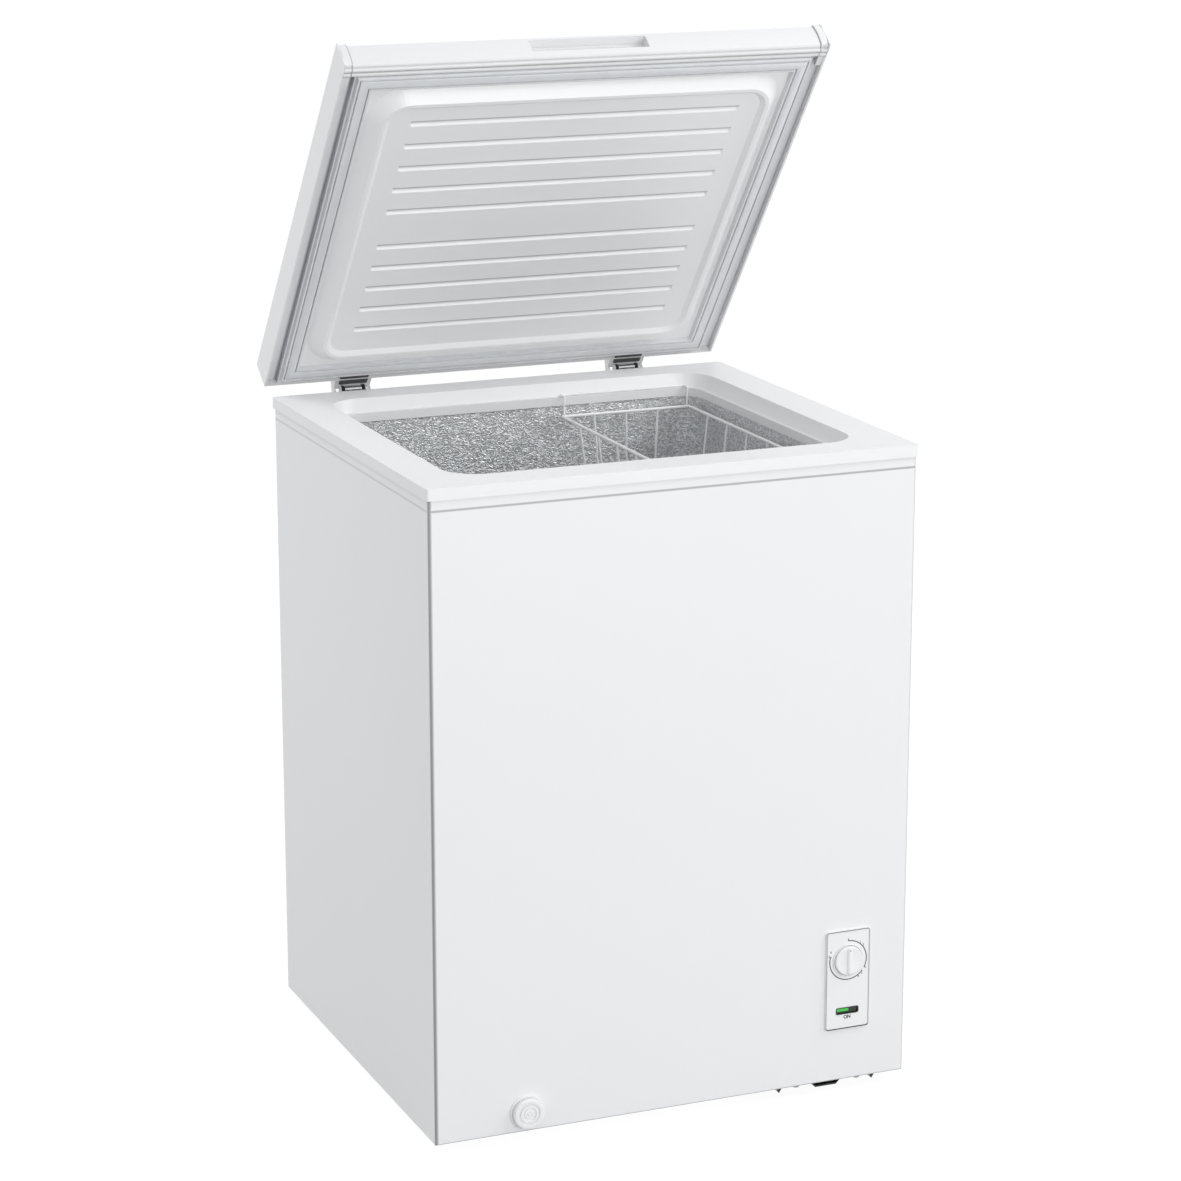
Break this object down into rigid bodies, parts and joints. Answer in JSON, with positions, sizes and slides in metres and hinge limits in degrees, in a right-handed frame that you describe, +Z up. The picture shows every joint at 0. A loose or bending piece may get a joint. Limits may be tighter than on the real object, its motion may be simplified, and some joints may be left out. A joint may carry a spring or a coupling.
{
  "type": "chest freezer",
  "caption": "Small white chest freezer with a hinged insulated lid, embossed aluminium liner, sliding wire basket, thermostat dial and pull-out drain.",
  "frame": {"origin": "on the floor, under the middle of the whole part with its lid open", "axes": "+Z up, the front with the control panel faces -Y, +X to the right as seen from the front"},
  "size_m": [0.62, 0.6391, 1.272],
  "materials": {
    "cabinet_enamel": "gloss",
    "lid_enamel": "gloss",
    "grey_sheet": "satin",
    "galvanised_sheet": "satin",
    "embossed_aluminium": "satin",
    "foam": "matte",
    "rim_plastic": "gloss",
    "white_plastic": "satin",
    "grey_plastic": "satin",
    "black_plastic": "satin",
    "copper_tube": "satin",
    "compressor_enamel": "satin",
    "black_rubber": "matte",
    "gasket_vinyl": "satin",
    "magnet_strip": "matte",
    "lamp_green": "gloss",
    "zinc_steel": "satin",
    "hinge_enamel": "gloss",
    "spring_steel": "satin",
    "coated_wire": "gloss",
    "lid_liner_plastic": "gloss"
  },
  "bodies": {
    "cabinet": {"front_panel": "cabinet_enamel", "left_side_panel": "cabinet_enamel", "right_side_panel": "cabinet_enamel", "back_panel": "grey_sheet", "base_panel": "galvanised_sheet", "bay_panel": "galvanised_sheet", "insulation": "foam", "inner_liner": "embossed_aluminium", "top_frame": "rim_plastic", "evaporator_tube": "copper_tube", "condenser_tube": "copper_tube", "compressor_base": "compressor_enamel", "compressor": "compressor_enamel", "compressor_grommets": "black_rubber", "compressor_studs": "zinc_steel", "terminal_cover": "black_plastic", "suction_tube": "copper_tube", "discharge_tube": "copper_tube", "filter_drier": "copper_tube", "capillary_tube": "copper_tube", "thermostat": "grey_plastic", "thermostat_sensor": "copper_tube", "control_panel": "white_plastic", "lamp_housing": "black_plastic", "lamp_lens": "lamp_green", "side_grille": "white_plastic", "rear_cover": "grey_sheet", "cabinet_screws": "zinc_steel", "cord_gland": "black_rubber", "feet": "black_plastic", "drain_pipe": "white_plastic", "drain_collar": "white_plastic", "hinge_bracket_left": "zinc_steel", "hinge_bracket_right": "zinc_steel", "hinge_pins": "zinc_steel", "hinge_spacers": "black_plastic", "hinge_springs": "spring_steel"},
    "lid": {"lid_skin": "lid_enamel", "lid_front_trim": "rim_plastic", "lid_end_cap_left": "rim_plastic", "lid_end_cap_right": "rim_plastic", "lid_insulation": "foam", "lid_liner": "lid_liner_plastic", "lid_gasket": "gasket_vinyl", "gasket_magnets": "magnet_strip", "hinge_leaf_left": "hinge_enamel", "hinge_leaf_right": "hinge_enamel", "hinge_cams": "zinc_steel", "lid_screws": "zinc_steel"},
    "plunger_left": {"hinge_plunger_left": "black_plastic"},
    "plunger_right": {"hinge_plunger_right": "black_plastic"},
    "basket": {"basket_front": "coated_wire", "basket_back": "coated_wire", "basket_left": "coated_wire", "basket_right": "coated_wire", "basket_floor": "coated_wire"},
    "dial": {"thermostat_dial": "white_plastic"},
    "drain_spout": {"drain_spout": "grey_plastic"},
    "drain_cap": {"drain_cap": "white_plastic"},
    "drain_plug": {"drain_plug": "grey_plastic"}
  },
  "joints": [
    {"name": "lid_hinge", "type": "hinge", "parent": "cabinet", "child": "lid", "pos_m": [0, 0.27444, 0.77], "axis": [-1, 0, 0], "range_deg": [-52, 23]},
    {"name": "plunger_left_slide", "type": "slide", "parent": "cabinet", "child": "plunger_left", "axis": [0, 0, 1], "range_m": [-0.0039, 0.0017]},
    {"name": "plunger_right_slide", "type": "slide", "parent": "cabinet", "child": "plunger_right", "axis": [0, 0, 1], "range_m": [-0.0039, 0.0017]},
    {"name": "basket_slide", "type": "slide", "parent": "cabinet", "child": "basket", "axis": [-1, 0, 0], "range_m": [0, 0.286]},
    {"name": "dial_turn", "type": "hinge", "parent": "cabinet", "child": "dial", "pos_m": [0.228, -0.30156, 0.171], "axis": [0, 1, 0], "range_deg": [0, 285]},
    {"name": "drain_pull", "type": "slide", "parent": "cabinet", "child": "drain_spout", "axis": [0, -1, 0], "range_m": [0, 0.025]},
    {"name": "drain_cap_turn", "type": "hinge", "parent": "drain_spout", "child": "drain_cap", "pos_m": [-0.191, -0.30156, 0.04], "axis": [0, 1, 0], "range_deg": [0, 180]},
    {"name": "drain_plug_lift", "type": "slide", "parent": "cabinet", "child": "drain_plug", "axis": [0, 0, 1], "range_m": [0, 0.03]}
  ],
  "couplings": [
    {"joint": "plunger_left_slide", "follows": "lid_hinge", "m_per_rad": 0.0042},
    {"joint": "plunger_right_slide", "follows": "lid_hinge", "m_per_rad": 0.0042}
  ]
}
